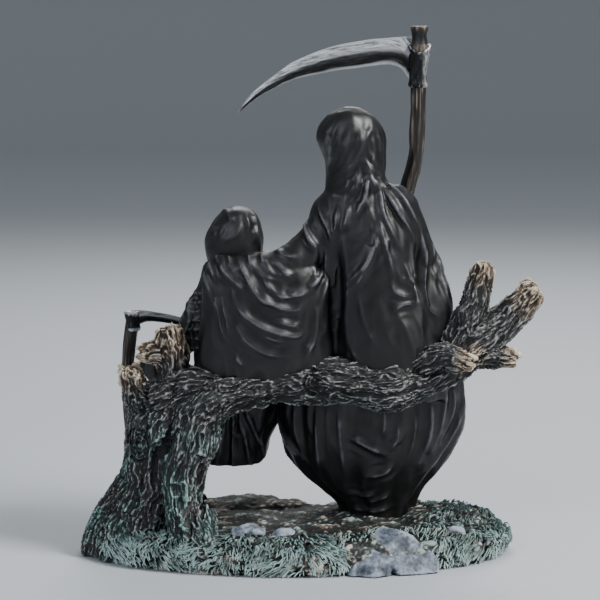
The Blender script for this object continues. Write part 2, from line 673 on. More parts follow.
def fan(side, middle, first, last, count, near, far, bend, width, height):
    """Folds that spread from one point: angles in degrees from level, distances, and a sideways bend."""
    strokes = []
    for i in range(count):
        a = math.radians(first + (last - first) * i / max(1, count - 1))
        points = []
        for share in (0.0, 0.5, 1.0):
            reach = near + (far - near) * share
            turned = a + math.radians(bend) * share
            points.append((middle[0] + reach * math.cos(turned), middle[1] + reach * math.sin(turned)))
        strokes.append((side, points, width, height))
    return strokes


def swags(side, left, right, sag, drop, count, width, height):
    """Hanging folds between two points, one under another, each sagging a little more."""
    strokes = []
    for i in range(count):
        low = drop * i
        middle = ((left[0] + right[0]) / 2, (left[1] + right[1]) / 2 - low - sag * (1 + 0.15 * i))
        strokes.append((side, [(left[0], left[1] - low), middle, (right[0], right[1] - low)], width, height))
    return strokes


def hollow(body, cutter):
    """Cut one shape out of another and drop the cutter."""
    settle(body, "BOOLEAN", operation="DIFFERENCE", object=cutter)
    bpy.data.objects.remove(cutter)


def folded(strokes, at, seed):
    """Move drawn folds to the figure, and give each a finer crease on either flank."""
    chance = random.Random(seed)
    moved = []
    for side, points, width, height in strokes:
        across = at[0] if side in ("back", "front") else at[1]
        line = np.array([(across + p, at[2] + q) for p, q in points], float)
        moved.append((side, line, width, height))
        run = line[-1] - line[0]
        off = np.array((-run[1], run[0])) / max(1e-6, np.linalg.norm(run))
        for way in (-1, 1):
            beside = line + off * way * width * chance.uniform(1.7, 2.6)
            cut = beside[0] + (beside - beside[0]) * chance.uniform(0.5, 0.9)
            moved.append((side, cut, 0.6 * width, 0.3 * abs(height) * chance.uniform(0.4, 1.0)))
    return moved


torso = stack("torso", placed([
    (12.0, 0.0, -14.0, 26.0, 15.0), (12.5, -1.0, -2.0, 27.0, 17.0), (9.5, -2.5, 16.0, 25.0, 16.5),
    (5.5, -2.5, 36.0, 23.5, 16.0), (1.0, -2.0, 56.0, 25.0, 15.5), (-0.5, -1.0, 68.0, 25.5, 14.0),
    (-1.0, 0.0, 76.5, 22.5, 12.5), (-2.5, 1.5, 83.0, 15.0, 11.0), (-3.5, 2.5, 88.0, 9.0, 8.0)], ADULT_AT))
skirt = stack("skirt", placed([
    (5.0, 9.0, 8.0, 31.0, 14.0), (4.5, 12.0, 0.0, 38.5, 19.0), (3.5, 14.0, -12.0, 43.0, 22.0),
    (3.0, 14.5, -27.0, 42.0, 21.5), (2.0, 15.0, -40.0, 38.0, 20.0), (2.5, 16.0, -50.0, 32.5, 18.5),
    (4.0, 17.0, -58.5, 24.5, 16.5), (6.5, 18.0, -66.0, 18.5, 15.0),
    (7.5, 18.5, -76.0, 17.0, 14.5)], ADULT_AT),
    pleats=9, relief=1.5, seed=0.7)
left_leg = tube("left leg", placed([
    (-4, 0, 2, 12), (-13, 14, 3, 13), (-18.5, 27, -1, 12.5), (-19, 31, -11, 10.5), (-14, 29.5, -38, 9),
    (-6, 26.5, -58, 9), (-2, 25, -70, 9)], ADULT_AT), rounded=True)
right_leg = tube("right leg", placed([
    (16, 0, 2, 13), (25, 14, 3, 13.5), (30, 27, -1, 12.5), (31.5, 31, -11, 10.5), (27, 29.5, -38, 9),
    (19, 26.5, -58, 9), (14, 25, -70, 9)], ADULT_AT), rounded=True)
right_sleeve = tube("right sleeve", placed([
    (13.5, -1, 74.5, 11), (18.5, -0.5, 65, 10), (22.5, 2, 52, 9.5), (26, 9, 42, 9.5), (23, 17, 45, 8.5),
    (19.5, 21, 50, 6.5)], ADULT_AT), rounded=True)
right_cuff = stack("right cuff", placed([
    (25, 4, 52, 7, 8), (27, 4, 43, 8.5, 11), (29, 4, 35, 10, 13), (31.3, 3, 27, 9.6, 12.5),
    (32.5, 1, 18, 7.5, 10), (32.5, 0, 10, 5, 8)], ADULT_AT))
left_sleeve = tube("left sleeve", placed([
    (-15, -1, 69, 10), (-24, -5, 57.5, 8.8), (-37, -9, 48.5, 8.6), (-54, -9, 47, 8), (-65, -6, 46.5, 7.3),
    (-69, -2, 46, 5)], ADULT_AT), rounded=True)
drape = stack("drape", placed([
    (-48, -9, 54, 20, 5), (-46.5, -10, 49, 25, 8), (-45, -9.5, 40, 29, 10.5), (-44.5, -8.5, 28, 30, 12.5),
    (-45, -8, 14, 31, 13.5), (-45, -8, 4, 31, 13), (-45, -7, -5, 30, 11)], ADULT_AT))
hood = stack("hood", placed([
    (-2.0, 1.0, 70.0, 17.0, 11.0), (-2.4, 1.2, 77.0, 17.0, 12.0), (-3.0, 2.0, 83.0, 15.0, 12.8),
    (-4.0, 3.5, 89.0, 13.6, 13.4), (-4.6, 5.0, 95.0, 13.6, 14.6), (-5.6, 6.0, 100.0, 14.4, 15.4),
    (-6.6, 6.0, 106.0, 15.6, 15.4), (-7.0, 5.5, 112.0, 14.0, 14.0), (-6.6, 4.5, 117.0, 9.6, 10.6),
    (-6.4, 3.5, 120.2, 3.4, 4.0)], ADULT_AT))
adult = merge("adult_robe", [torso, skirt, left_leg, right_leg, right_sleeve, right_cuff, left_sleeve,
                             drape, hood])
grow_together(adult, grain=0.74, rounds=9)
BACK_FOLDS = [
    ([(-0.2, 95), (2.6, 88), (5.4, 84), (7.8, 73), (12.9, 62), (18, 54)], 2.3, 3.2),
    ([(6, 89), (7.3, 84.6), (13.8, 75), (19.4, 66), (23.9, 57.7)], 2.0, 2.8),
    ([(9, 89), (10.6, 85.5), (16.6, 80), (21.3, 72), (25.5, 65)], 1.9, 2.4),
    ([(0.8, 90), (0.3, 85.5), (-1.6, 77), (-5.8, 69.5)], 1.9, 2.6),
    ([(-12.3, 77), (-13.4, 68.6), (-14.1, 62)], 1.7, 2.0), ([(-7.5, 78), (-8.8, 71), (-11, 64)], 1.8, 1.7),
    ([(-22.1, 80), (-19.7, 71.4), (-16.5, 64.8), (-15, 59)], 1.9, 2.6),
    ([(-27.7, 71), (-25.3, 61), (-21.4, 57)], 1.7, 2.0),
    ([(-24, 75), (-27.3, 66), (-25.9, 61), (-21.9, 57)], 1.6, 1.8),
    ([(-19.1, 61), (-17.3, 52), (-17.9, 41.5), (-20.2, 33)], 2.1, 2.6),
    ([(-19, 52), (-21.3, 43), (-25.8, 39.5)], 2.0, 2.6),
    ([(5.4, 71), (4.5, 60), (0.8, 50.7), (-3, 43), (-10.4, 34.7)], 2.5, 3.0),
    ([(1.7, 51.6), (-3.9, 46), (-9, 40)], 1.6, 1.8),
    ([(5, 77), (7.3, 64), (10.6, 52.6), (12.9, 44)], 2.2, 2.6),
    ([(11.5, 46), (12.4, 39.4), (16.2, 36), (23.5, 35.6)], 1.8, 2.2),
    ([(12, 29), (17.6, 31.9), (23.5, 31.9)], 1.8, 1.8), ([(17.6, 51), (20.3, 43), (24, 41)], 1.7, 1.8),
    ([(24, 69), (26.7, 54), (26.2, 39.4), (28.3, 30), (35.4, 24.5)], 1.9, 3.4),
    ([(27, 66), (30, 57), (31.8, 49), (33, 40)], 1.7, 2.0),
    ([(-3, 37), (0, 24), (7, 10)], 3.4, 1.8), ([(14, 29), (20, 17), (24, 4)], 3.0, 1.6),
    ([(-9, 28), (-7, 14), (0, 2)], 3.0, 1.6), ([(7, 33), (10, 20), (16, 8)], 2.6, 1.2),
    ([(-14.5, 60), (-13.5, 46), (-13, 30), (-15, 10)], 2.6, -3.6),
    ([(24.0, 61), (24.0, 46), (24.6, 32)], 1.5, -2.8)]
DRAPE_FOLDS = [
    ([(-72.2, 53), (-69.9, 48), (-67.1, 41)], 1.6, 2.0),
    ([(-74.2, 51), (-71.3, 41.5), (-68.5, 35)], 1.7, 2.4),
    ([(-66.5, 53), (-64.2, 47.3), (-57.9, 41.5), (-54, 38)], 1.9, 2.2),
    ([(-57.6, 54), (-56.8, 50.8), (-52.8, 42.7), (-49.3, 37), (-43.6, 32.9), (-32.2, 29.7), (-24.8, 34.5)],
     2.2, 3.0),
    ([(-50, 52), (-45, 42), (-38, 36), (-28, 37), (-22, 42)], 2.0, 2.2),
    ([(-41, 56.8), (-36.2, 54.2), (-31, 53.1)], 1.5, 1.6),
    ([(-44, 54), (-37.9, 47.9), (-31.5, 42.5)], 1.8, 1.8),
    ([(-36, 39), (-31, 36.2)], 1.4, 1.2), ([(-42, 26.3), (-34.5, 23), (-29, 23)], 2.0, 2.2),
    ([(-48, 19.3), (-41.3, 16.5), (-36, 15.4)], 1.9, 2.0),
    ([(-65.5, 36), (-62.5, 26), (-61.1, 17)], 2.0, 2.2),
    ([(-70, 38), (-66.5, 30), (-64.8, 21), (-60.8, 13)], 1.9, 2.2),
    ([(-61, 45), (-58.5, 33), (-53.3, 26.5), (-43.6, 20.8), (-32, 18), (-24, 21)], 2.2, 2.6),
    ([(-59, 24), (-54, 16), (-44, 10), (-32, 9)], 2.4, 2.0), ([(-59, 9), (-55, 4)], 1.6, 1.6),
    ([(-62, 54.5), (-61, 49)], 1.2, 1.4), ([(-53, 55), (-52, 49)], 1.2, 1.4),
    ([(-47.5, 55), (-46, 50)], 1.2, 1.4), ([(-67.5, 54), (-66.5, 50)], 1.2, 1.3),
    ([(-22, 32), (-23, 18), (-28, 4)], 2.4, 1.8)]
SKIRT_FOLDS = [
    ([(-22, -14), (-21.6, -35), (-19.5, -52)], 2.2, 2.6), ([(-31, -10), (-32, -28), (-27, -44)], 2.4, 2.2),
    ([(-12, -12), (-11, -34), (-8, -54)], 2.6, 2.0), ([(8.7, -14), (9.1, -24), (8, -31)], 2.0, 2.2),
    ([(-7.7, -31), (1.2, -35.2), (11.3, -40.3)], 2.2, 2.8), ([(15.5, -22), (15, -31), (12.5, -38)], 1.9, 2.2),
    ([(13.8, -44), (8.7, -49), (-1.4, -50)], 2.0, 2.2), ([(22, -14), (23, -30), (18, -50)], 2.2, 2.2),
    ([(30, -10), (31, -28), (24, -50)], 2.2, 2.2),
    ([(35.5, -5), (36.8, -14), (35, -28), (29, -44)], 1.9, 2.6),
    ([(39.7, -6), (41.3, -15), (40, -26)], 1.7, 2.4), ([(-9, -58.5), (0, -60), (6, -58.8)], 1.5, 1.6),
    ([(1, -62.5), (7, -62), (13, -59)], 1.5, 1.6), ([(-8, -66), (4, -68), (16, -65)], 1.5, 1.4)]
folds = [("back", *fold) for fold in BACK_FOLDS + DRAPE_FOLDS + SKIRT_FOLDS]
FOLD_HEIGHT = 2.6
folds += fan("front", (-18, -6), -64, -84, 3, 12, 60, -3, 2.2, 1.2 * FOLD_HEIGHT)
folds += fan("front", (31, -6), -96, -116, 3, 12, 60, 3, 2.2, 1.2 * FOLD_HEIGHT)
folds += swags("front", (-14, -4), (27, -4), 9.0, 11.0, 4, 2.2, 1.1 * FOLD_HEIGHT)
folds += fan("front", (-3, 82), -60, -120, 5, 10, 44, 0, 2.1, 1.1 * FOLD_HEIGHT)
folds += fan("right", (4, 68), -72, -104, 4, 6, 40, 0, 1.9, 1.2 * FOLD_HEIGHT)
folds += fan("right", (16, -6), -74, -106, 4, 8, 50, 0, 2.2, 1.2 * FOLD_HEIGHT)
folds += fan("left", (16, -8), -80, -108, 3, 8, 44, 0, 2.2, FOLD_HEIGHT)
HOOD_FOLDS = [
    ([(-15, 118), (-20.7, 112), (-22, 106), (-19.5, 100)], 1.6, 1.8),
    ([(-12, 117), (-17, 109), (-18.5, 101), (-17, 93)], 1.3, 1.4),
    ([(-10.4, 116), (-14.1, 109), (-16, 101.5), (-16.9, 92)], 1.7, 2.0),
    ([(-7.5, 116), (-11, 107), (-14, 98), (-17, 90)], 1.4, 1.5),
    ([(-4.8, 115), (-7.6, 104), (-11.3, 96), (-17, 88)], 1.9, 2.4),
    ([(-1.6, 117), (-2.4, 108), (-6, 99), (-11, 92), (-18, 86)], 1.5, 1.7),
    ([(2, 119), (2.4, 111), (-2, 102.4), (-5.8, 95), (-12.3, 89.3), (-20, 84)], 2.1, 2.8),
    ([(-4, 93), (-10.4, 88), (-18, 83)], 1.3, 1.6), ([(-3, 90), (-9, 84.5), (-17, 80)], 1.4, 1.6),
    ([(5.4, 116), (6.8, 108), (8.0, 101), (8.4, 94), (12, 87)], 1.8, 2.4),
    ([(3.2, 110), (4, 101), (3, 94), (7, 89)], 1.4, 1.5),
    ([(-1.1, 100), (1.7, 93), (6.4, 89.3), (14, 86)], 1.6, 2.2),
    ([(-0.2, 98), (2.6, 88.3), (5.4, 83.6)], 1.8, 2.2), ([(-1.5, 97), (0.6, 88), (-0.4, 80)], 1.6, 1.9),
    ([(-3, 96), (-4, 86), (-8, 78)], 1.5, 1.7)]
folds += [("right", [(-6, 112), (-7, 100), (-3, 88)], 2.0, 2.0),
          ("right", [(4, 115), (6, 102), (6, 88)], 2.0, 2.0),
          ("left", [(-5, 113), (-6, 100), (0, 88)], 2.0, 2.0)]
roughen(adult, size=7.0, height=-0.5, stretch=(1.0, 1.0, 3.0), seed=8.0, sharp=True)
carve(adult, folded(folds, ADULT_AT, 5))
soft = [("back", np.array(points) + (ADULT_AT[0], SEAT), 1.3 * width, 0.62 * height)
        for points, width, height in HOOD_FOLDS]
carve(adult, soft)
settle(adult, "SMOOTH", factor=0.5, iterations=3)
hollow(adult, ball("face hollow", (ADULT_AT[0] - 12.8, 18.0, SEAT + 97.5), (10.2, 15.0, 14.0), 24.0))
find_crests(adult, rounds=8, reach=0.42)

# Robe paint: satin black, rubbed grey along the sharp edges of the folds.
black, tree, shader = paint("satin black paint", 0.38)
where = add(tree, "TexCoord", {}, {}, "Object")
crest = add(tree, "Attribute", {"attribute_name": "crest"}, {}, "Fac")
tint = add(tree, "ValToRGB",
           {"stops": [(0.35, "#020202"), (0.55, "#080808"), (0.80, "#1b1c1e"), (1.0, "#55575a")]},
           {"Fac": crest})
gloss = add(tree, "TexNoise", {}, {"Vector": where, "Scale": 1 / (6 * MM), "Detail": 3.0}, "Fac")
gloss = add(tree, "MapRange", {}, {"Value": gloss, "From Min": 0.3, "From Max": 0.7, "To Min": 0.38,
                                   "To Max": 0.54})
feed(shader, {"Base Color": tint, "Roughness": gloss})
for piece in divide(adult, (0, 0, SEAT - 6.0), (0, 0, 1), ("adult_skirt", "adult_robe")):
    complete(piece, black)


# Child's robe
# The small reaper's robe, of the same casting and paint: back, lap, hanging hem, and the left sleeve that
# reaches out to the small scythe.

torso = stack("child torso", placed([
    (0, 2, -8, 16, 12), (0, 3, 4, 17.5, 14), (0, 4, 20, 16.5, 14), (0.5, 4, 36, 15, 12.5),
    (1, 4, 46, 13, 11), (1.5, 4, 52, 10.5, 10), (2, 4.5, 57, 8, 8)], CHILD_AT))
lap = stack("child lap", placed([
    (0, 9, 6, 15, 12), (0, 13, -1, 18.5, 15), (2.5, 18, -12, 21.5, 13), (2.2, 19.5, -24, 20.5, 12),
    (0.4, 20, -36, 17.2, 11), (-1, 21, -44, 16.5, 11), (-1.5, 21, -48, 14.5, 10)], CHILD_AT),
    pleats=7, relief=0.9, seed=2.1)
legs = [tube("child leg", placed([(0.6 * side, 2, 1, 8), (0.9 * side, 16, 3, 8.6), (side, 25.5, 0, 8),
                                  (side, 28, -10, 6.6), (side, 26, -34, 6)], CHILD_AT), rounded=True)
        for side in (-8.5, 9.5)]
arm = tube("child arm", placed([(-7, 4, 44, 7), (-9.5, 5, 34, 7), (-13.5, 7, 24, 6.8), (-19, 12, 14, 6.5),
                                (-31, 17, 5, 6.3), (-39, 19, -1, 4.6)], CHILD_AT), rounded=True)
cuff = stack("child cuff", placed([(-30, 14, 12, 5, 5), (-33, 15, 4, 7.5, 6.5), (-34.5, 16, -4, 7, 6),
                                   (-35, 16, -9, 4, 4)], CHILD_AT))
other = tube("child other arm", placed([(11, 6, 42, 7.5), (14, 12, 30, 7), (11, 19, 18, 6.5),
                                        (4, 22, 12, 5)], CHILD_AT), rounded=True)
child = merge("child_robe", [torso, lap, arm, cuff, other] + legs)
grow_together(child, grain=0.78, rounds=7)
folds = fan("back", (0, -4), -70, -110, 5, 14, 46, 0, 1.8, 1.1 * FOLD_HEIGHT)
folds += fan("front", (-8, -2), -78, -100, 3, 6, 44, 0, 1.8, 1.2 * FOLD_HEIGHT)
folds += fan("front", (9, -2), -80, -102, 3, 6, 44, 0, 1.8, 1.2 * FOLD_HEIGHT)
folds += fan("front", (1, 52), -62, -118, 5, 6, 34, 0, 1.7, FOLD_HEIGHT)
folds += fan("left", (4, 44), -70, -104, 3, 6, 34, 10, 1.7, 1.2 * FOLD_HEIGHT)
folds += fan("left", (16, -4), -76, -104, 3, 6, 40, 0, 1.8, FOLD_HEIGHT)
folds += fan("back", (-17, 34), -72, -100, 3, 2, 22, -20, 1.4, FOLD_HEIGHT)
for k in range(7):
    z = 36.0 - 4.2 * k
    across_sleeve = [(-19 - 0.8 * k, z), (-15 - 0.6 * k, z - 1.2), (-10, z + 0.6)]
    folds.append(("back", across_sleeve, 1.3, 0.7 * FOLD_HEIGHT))
roughen(child, size=7.0, height=-0.5, stretch=(1.0, 1.0, 3.0), seed=2.0, sharp=True)
carve(child, folded(folds, CHILD_AT, 3))
settle(child, "SMOOTH", factor=0.5, iterations=1)
CHILD_FACE = (CHILD_AT[0] + 1.4, 16.5, SEAT + 59.5)
hollow(child, ball("face hollow", CHILD_FACE, (8.8, 12.3, 10.6), -6.0))
find_crests(child, rounds=8, reach=0.42)
complete(child, black)


# Child's hood
# Flat-crowned, with a corner at the back left, hollow round the small skull. Same casting and paint.

small_hood = stack("child hood", placed([
    (1.5, 3.0, 48.0, 12.0, 10.0), (1.2, 3.5, 54.0, 13.2, 11.5), (1.3, 4.5, 60.0, 13.6, 12.6),
    (1.9, 5.0, 65.0, 12.0, 12.8), (2.5, 5.0, 69.0, 10.2, 11.6), (3.0, 4.5, 72.2, 7.6, 9.2),
    (3.1, 4.2, 74.0, 4.8, 6.2), (3.1, 4.0, 74.8, 1.6, 2.4)], CHILD_AT), around=48)
peak = tube("corner", placed([(5, 4, 68, 6, 5), (0, 3, 70, 5, 4), (-4.5, 2, 72, 2.2, 2.2)], CHILD_AT))
small_hood = merge("child_hood", [small_hood, peak])
grow_together(small_hood, grain=0.7, rounds=3)
SMALL_HOOD_FOLDS = [
    ([(-3, 75), (-1, 71), (1.3, 68.5)], 1.5, 1.8), ([(6.2, 72.5), (7.4, 68.2), (7.7, 62)], 1.4, 1.8),
    ([(8.9, 72.5), (11.3, 69), (13.4, 65)], 1.3, 1.6),
    ([(5.0, 68), (2.8, 63.1), (-1.4, 60.6), (-6.6, 59)], 1.9, 2.0),
    ([(-2.9, 66.5), (-5.2, 61.5)], 1.2, 1.4), ([(-6.6, 69), (-7.5, 63.7), (-6.3, 58.5)], 1.6, 1.6),
    ([(-10, 66), (-11.5, 60)], 1.3, 1.4), ([(10, 66), (10.5, 58)], 1.6, 1.4)]
folds = [("back", points, 1.2 * width, 0.75 * height) for points, width, height in SMALL_HOOD_FOLDS]
folds += [("right", [(0, 72), (-3, 62), (0, 52)], 1.6, 1.6), ("left", [(0, 70), (-3, 62), (0, 52)], 1.6, 1.6)]
carve(small_hood, folded(folds, CHILD_AT, 7))
hollow(small_hood, ball("face hollow", CHILD_FACE, (9.0, 12.5, 10.6), -6.0))
grow_together(small_hood, grain=0.6, rounds=1)
find_crests(small_hood, rounds=9, reach=0.42)
complete(small_hood, black)


# Skulls
# Bare skulls inside the hoods, cast with them and painted old ivory with dark hollows. Nobody's likeness.

def skull(name, at, size, turn):
    """A plain skull: its middle, about half its height, and its turn to the side in degrees."""
    head = ball(name, (0, 0, 0), (0.80 * size, 0.92 * size, 0.95 * size))
    jaw = ball("jaw", (0, 0.36 * size, -0.80 * size), (0.46 * size, 0.44 * size, 0.50 * size))
    cheeks = ball("cheeks", (0, 0.52 * size, -0.28 * size), (0.68 * size, 0.38 * size, 0.26 * size))
    brow = ball("brow", (0, 0.68 * size, 0.22 * size), (0.60 * size, 0.26 * size, 0.14 * size))
    teeth = []
    for drop in (-0.70, -0.93):
        for k in range(7):
            a = math.radians(-54 + 108 * k / 6)
            middle = (0.42 * size * math.sin(a), (0.40 + 0.48 * math.cos(a)) * size, drop * size)
            teeth.append(ball("tooth", middle, (0.062 * size, 0.06 * size, 0.10 * size), 0.0, 2))
    head = merge(name, [head, jaw, cheeks, brow] + teeth)
    grow_together(head, grain=0.042 * size, rounds=1)
    for across in (-1, 1):
        hollow(head, ball("eye", (across * 0.34 * size, 0.98 * size, -0.06 * size),
                          (0.24 * size, 0.42 * size, 0.25 * size), 0.0, 3))
        hollow(head, ball("cheek hollow", (across * 0.62 * size, 0.50 * size, -0.66 * size),
                          (0.18 * size, 0.30 * size, 0.24 * size), 0.0, 3))
    hollow(head, ball("nose", (0, 1.04 * size, -0.42 * size),
                      (0.12 * size, 0.30 * size, 0.19 * size), 0.0, 3))
    head.data.transform(Matrix.Rotation(math.radians(turn), 4, "Z"))
    head.data.transform(Matrix.Translation([q * MM for q in at]))
    find_crests(head, rounds=10, reach=0.3)
    return head


skulls = merge("skulls", [skull("adult skull", (ADULT_AT[0] - 7.6, 5.0, SEAT + 99.0), 9.6, 24.0),
                          skull("child skull", (CHILD_AT[0] + 1.2, 5.0, SEAT + 60.5), 7.6, -6.0)])

# Bone paint: ivory, rubbed brown-black in the hollows.
bone, tree, shader = paint("painted bone", 0.5)
crest = add(tree, "Attribute", {"attribute_name": "crest"}, {}, "Fac")
tint = add(tree, "ValToRGB", {"stops": [(0.2, "#1d1710"), (0.5, "#9a8b6c"), (0.8, "#d9ccad")]},
           {"Fac": crest})
feed(shader, {"Base Color": tint})
complete(skulls, bone)


# Large scythe
# A separate moulding that slides down through the adult's right fist into the ground: a crooked wooden-look
# shaft with a knob on top, and a socket with a saddle-shaped collar and a long blade in antique pewter.

SCYTHE_TOP = 243.0
GRIP = SEAT + 52.0
shaft_path = [(49.5, 20.0, SCYTHE_TOP - 9.0), (49.0, 20.0, SCYTHE_TOP - 40.0),
              (48.0, 20.2, SCYTHE_TOP - 62.0), (44.6, 21.5, SCYTHE_TOP - 76.0), (40.0, 26.5, GRIP),
              (36.5, 35.5, GRIP - 30.0),
              (35.5, 41.5, GRIP - 56.0), (37.5, 42.0, 56.0), (41.0, 40.0, 30.0), (42.0, 39.0, 9.5)]


def wood_grain(depth, seed):
    """Long shallow grooves and a few knots down a shaft."""
    def height(angle, along):
        x, y = math.cos(angle), math.sin(angle)
        return depth * (2 * abs(noise.noise((2.2 * x, 2.2 * y, along / 26.0 + seed))) - 0.6) \
            + 0.8 * depth * noise.noise((x, y, along / 9.0 + seed))
    return height


def shaft_rows(path, thickness):
    """A shaft's path with its radius, a little thinner downwards."""
    return [(*p, thickness * (0.53 - 0.06 * k / (len(path) - 1)) - 0.1) for k, p in enumerate(path)]


pole = tube("shaft", shaft_rows(shaft_path, 7.0), 48, 20, wood_grain(0.42, 1.0))
POLE_TOP = (*shaft_path[0][:2], SCYTHE_TOP)


def below(top, rows):
    """Rows of a turned shape, drawn as the shift to the side, the drop from the top and the half widths."""
    return [(top[0] + shift, top[1], top[2] - drop, a, b) for shift, drop, a, b in rows]


def turned(name, rows, sides=40):
    """A round shape drawn up from a disc. A row is the middle x, y, the height and the half widths."""
    bpy.ops.object.select_all(action="DESELECT")
    x, y, z, a, b = rows[0]
    bpy.ops.mesh.primitive_circle_add(vertices=sides, radius=MM, fill_type="NGON",
                                      location=(x * MM, y * MM, z * MM))
    made = bpy.context.object
    made.name = name
    bpy.ops.object.transform_apply(location=True)
    bpy.ops.object.mode_set(mode="EDIT")
    bpy.ops.transform.resize(value=(a, b, 1.0), center_override=[q * MM for q in (x, y, z)])
    for row in rows[1:]:
        step = ((row[0] - x) * MM, (row[1] - y) * MM, (row[2] - z) * MM)
        bpy.ops.mesh.extrude_region_move(TRANSFORM_OT_translate={"value": step})
        bpy.ops.transform.resize(value=(row[3] / a, row[4] / b, 1.0),
                                 center_override=[q * MM for q in row[:3]])
        x, y, z, a, b = row
    bpy.ops.mesh.select_all(action="SELECT")
    bpy.ops.mesh.normals_make_consistent(inside=False)
    bpy.ops.object.mode_set(mode="OBJECT")
    return made


knob = turned("knob", below(POLE_TOP, [
    (0, 15, 2.8, 2.8), (0, 12, 4.2, 4.2), (0, 9, 4.0, 4.0), (0, 6, 3.2, 3.2), (0, 3.4, 3.5, 3.5),
    (0, 2.6, 4.0, 4.0), (0, 1.4, 4.2, 4.2), (0, 0.5, 4.0, 4.0), (0, 0.2, 3.4, 3.4), (0, 0.5, 1.2, 1.2)]), 48)
settle(knob, "SUBSURF", levels=1, render_levels=1)
roughen(knob, size=1.8, height=0.28, stretch=(1.0, 1.0, 2.0), seed=6.0)
pole = merge("scythe_shaft", [pole, knob])
find_crests(pole, rounds=8, reach=0.22)

# Shaft paint: dark brown, dry-brushed buff along the grain.
stained, tree, shader = paint("brown painted wood", 0.5)
where = add(tree, "TexCoord", {}, {}, "Object")
where = add(tree, "Mapping", {}, {"Vector": where, "Scale": (1.0, 1.0, 0.10)})
streak = add(tree, "TexNoise", {}, {"Vector": where, "Scale": 1 / (1.3 * MM), "Detail": 4.0}, "Fac")
crest = add(tree, "Attribute", {"attribute_name": "crest"}, {}, "Fac")
worn = wear(tree, crest, streak, 0.9, -0.55)
tint = add(tree, "ValToRGB",
           {"stops": [(0.25, "#060403"), (0.5, "#140f0b"), (0.74, "#2c241d"), (1.0, "#75695c")]},
           {"Fac": worn})
bump = add(tree, "Bump", {}, {"Height": streak, "Strength": 0.6, "Distance": 0.3 * MM})
feed(shader, {"Base Color": tint, "Normal": bump})
complete(pole, stained, "reaper_scythe")


def blade(name, at, length, rise, rows, away, thickness):
    """A blade: rows give the share of the length, the upper edge and the lower edge, tip last.

    A bright bevel slopes from the thin upper edge to a ridge, and the dark face below it ends in a thin edge.
    The grain mark runs with the blade, so that the scratches do.
    """
    rings, bright, grain = [], [], []
    for share, upper, lower in smooth_rows(rows, 14):
        x = at[0] - length * share
        y = at[1] + away * share
        top, low = at[2] + rise * upper, at[2] + rise * lower
        half = thickness / 2 * (1.0 - 0.45 * share)
        ridge = 0.60 - 0.12 * share
        outline = [(0.10, 1.0, 1.0), (0.34, 0.75 + 0.25 * ridge, 1.0), (0.66, 0.4 + 0.6 * ridge, 0.9),
                   (0.97, ridge + 0.03, 0.75), (1.0, ridge - 0.02, 0.15), (0.86, 0.6 * ridge, 0.0),
                   (0.84, 0.26 * ridge, 0.0), (0.74, 0.10 * ridge, 0.0), (0.60, 0.02, 0.55), (0.2, 0.0, 0.7)]
        both = [(-1, *row) for row in outline] + [(1, *row) for row in reversed(outline)]
        rings.append([(x, y + way * half * out, low + (top - low) * up) for way, out, up, _ in both])
        bright += [lit for _, _, _, lit in both]
        grain += [(length * share / 9.0, way * 3.0, (top - low) * up) for way, _, up, _ in both]
    made = skin(name, rings)
    mark(made, "bevel", bright + [1.0, 1.0])
    mark(made, "grain", grain + [grain[0], grain[-1]])
    return made


outline = [(-0.02, 0.975, 0.36), (0.03, 0.97, 0.46), (0.07, 0.965, 0.57), (0.15, 0.95, 0.615),
           (0.28, 0.92, 0.58), (0.48, 0.83, 0.52), (0.68, 0.65, 0.42), (0.80, 0.465, 0.30),
           (0.89, 0.31, 0.19), (0.95, 0.175, 0.085), (1.0, 0.02, 0.0)]
edge = blade("scythe_blade", (46.5, 20.0, SCYTHE_TOP - 40.0), length=80.5, rise=36.0, rows=outline, away=0.0,
             thickness=2.8)
roughen(edge, size=2.2, height=0.12, stretch=(4.0, 1.0, 1.0), seed=1.0)
socket = turned("socket", below(POLE_TOP, [
    (-0.4, 28.8, 3.6, 3.6), (-0.5, 28.2, 4.5, 4.3), (-0.6, 26.8, 4.6, 4.3), (-0.6, 26.0, 4.0, 3.9),
    (-0.6, 22.0, 4.1, 4.0), (-0.5, 18.0, 4.4, 4.2), (-0.3, 14.5, 4.9, 4.6), (0, 12.5, 5.1, 4.8),
    (0, 12.3, 3.2, 3.2)]), 48)
settle(socket, "SUBSURF", levels=1, render_levels=1)
rings = []
for width, drop in ((4.4, 3.4), (5.3, 2.6), (5.6, 0.9), (5.3, 0.0), (3.6, 0.3)):
    ring = []
    for k in range(64):
        a = 2 * math.pi * k / 64
        saddle = SCYTHE_TOP - 12.2 + 3.8 * math.cos(a) ** 2
        ring.append((POLE_TOP[0] + width * math.cos(a), POLE_TOP[1] + 0.94 * width * math.sin(a),
                     saddle - drop))
    rings.append(ring)
collar = skin("collar", rings)
head = merge("scythe_head", [socket, collar])
grow_together(head, grain=0.3, rounds=2)
roughen(head, size=1.6, height=0.30, stretch=(1.0, 1.0, 2.4), seed=3.0)
find_crests(head, rounds=6, reach=0.16)
find_crests(edge, rounds=6, reach=0.25)
mark(head, "bevel", np.clip((read(head, "co")[:, 0] / MM - POLE_TOP[0] - 1.0) / 3.0, 0.0, 0.75))
mark(head, "grain", read(head, "co") / MM / (1.0, 1.0, 4.0))

